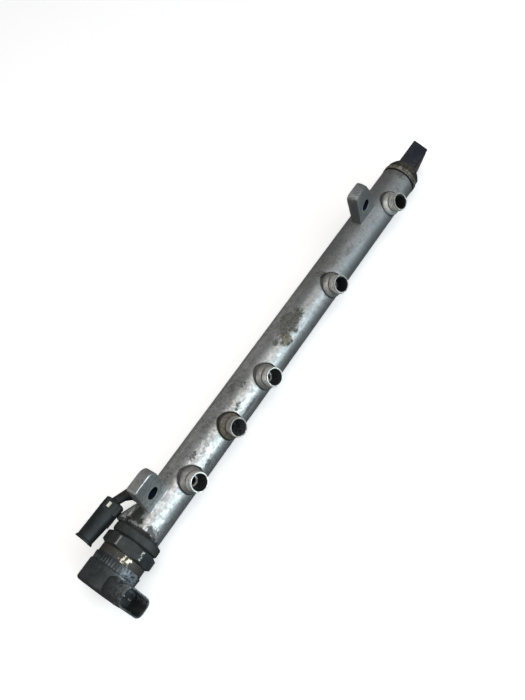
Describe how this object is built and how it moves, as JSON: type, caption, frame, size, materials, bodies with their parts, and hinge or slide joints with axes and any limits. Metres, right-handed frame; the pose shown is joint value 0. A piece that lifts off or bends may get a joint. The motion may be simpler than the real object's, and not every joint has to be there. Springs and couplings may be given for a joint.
{
  "type": "fuel rail",
  "caption": "Forged common-rail fuel pressure accumulator with threaded pipe connections, bolt lugs, pressure control valve, pressure sensor and return elbow.",
  "frame": {"origin": "half way between the two lug holes, in the plane on which the lugs seat", "axes": "+X along the rail from the control valve to the sensor, -Y the way the lug bolts leave, +Z from the rail's tube towards the lug holes"},
  "size_m": [0.4195, 0.0661, 0.0614],
  "materials": {
    "forged_steel": "forged, zinc plated, satin, with scale and dirt",
    "nut_steel": "phosphated, dark grey",
    "valve_steel": "ground",
    "hard_steel": "lapped",
    "magnet_steel": "yellow zinc plated",
    "sensor_steel": "stained, brown rust on the hexagon",
    "nipple_steel": "zinc plated",
    "black_plastic": "glass-filled, worn",
    "elbow_plastic": "satin, dusty",
    "retainer_plastic": "cream",
    "bobbin_plastic": "moulded",
    "coil_copper": "enamelled copper winding",
    "seal_rubber": "matt",
    "backup_plastic": "smooth",
    "terminal_metal": "tinned",
    "board": "circuit board"
  },
  "bodies": {
    "rail": {"rail_body": "forged_steel", "valve_clamp_nut": "nut_steel", "valve_body": "valve_steel", "valve_seat": "hard_steel", "valve_spring": "hard_steel", "valve_core": "valve_steel", "valve_sleeve": "valve_steel", "valve_bobbin": "bobbin_plastic", "valve_coil": "coil_copper", "valve_magnet_pot": "magnet_steel", "valve_terminals": "terminal_metal", "valve_yoke": "magnet_steel", "valve_cap": "black_plastic", "valve_o_ring": "seal_rubber", "valve_backup_ring": "backup_plastic", "valve_filter": "valve_steel", "sensor_body": "sensor_steel", "sensor_cell": "valve_steel", "sensor_board": "board", "sensor_terminals": "terminal_metal", "sensor_seal": "seal_rubber", "sensor_connector": "black_plastic", "return_nipple": "nipple_steel", "return_elbow": "elbow_plastic", "return_retainer": "retainer_plastic", "return_o_rings": "seal_rubber"},
    "armature": {"valve_ball": "hard_steel", "valve_pin": "hard_steel", "valve_armature": "valve_steel"}
  },
  "joints": [
    {"name": "valve_lift", "type": "slide", "parent": "rail", "child": "armature", "axis": [-1, 0, 0], "range_m": [0, 0.0003], "stiffness_N_per_m": 400}
  ]
}
